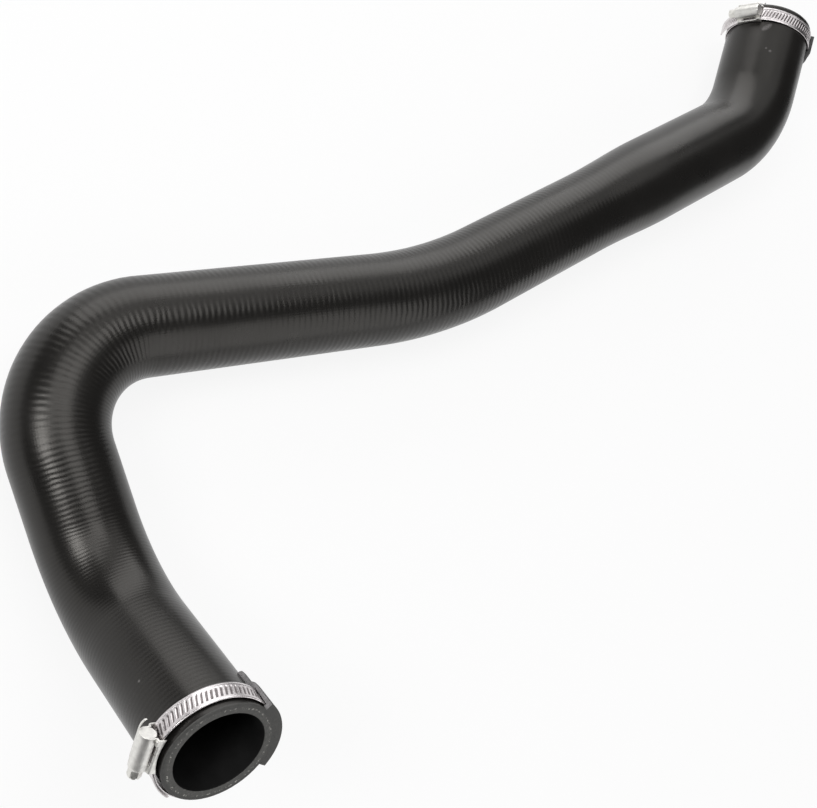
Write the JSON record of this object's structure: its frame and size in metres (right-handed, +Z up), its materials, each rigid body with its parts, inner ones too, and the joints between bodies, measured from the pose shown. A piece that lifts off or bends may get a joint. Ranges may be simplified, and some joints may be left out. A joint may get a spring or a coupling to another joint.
{
  "type": "charge air hose",
  "caption": "Moulded rubber charge air hose, bent at both ends and wider at one, with a worm-drive clamp and a rubber keeper on each end",
  "frame": {"origin": "centre of the bounding box, on the table the hose lies on", "axes": "+Z up from the table; +X along the lying hose from its smaller end to its wider end; +Y to the left of that, the side towards which the wider end bends"},
  "size_m": [0.8138, 0.4204, 0.163],
  "materials": {
    "hose_rubber": "satin, with fine wrap rings",
    "keeper_rubber": "matt",
    "band_steel": "bright rolled strip",
    "housing_steel": "zinc plated",
    "screw_steel": "zinc plated"
  },
  "bodies": {
    "hose_assembly": {"hose": "hose_rubber", "lower_clamp_band": "band_steel", "lower_clamp_housing": "housing_steel", "lower_keeper": "keeper_rubber", "upper_clamp_band": "band_steel", "upper_clamp_housing": "housing_steel", "upper_keeper": "keeper_rubber"},
    "lower_screw": {"lower_clamp_screw": "screw_steel"},
    "upper_screw": {"upper_clamp_screw": "screw_steel"}
  },
  "joints": [
    {"name": "lower_screw_turn", "type": "hinge", "parent": "hose_assembly", "child": "lower_screw", "pos_m": [-0.39782, -0.16719, 0.1404], "axis": [-0.3256, -0.7136, -0.6203], "continuous": true},
    {"name": "upper_screw_turn", "type": "hinge", "parent": "hose_assembly", "child": "upper_screw", "pos_m": [0.33465, 0.20105, 0.06572], "axis": [-0.2291, 0.3201, -0.9193], "continuous": true}
  ]
}
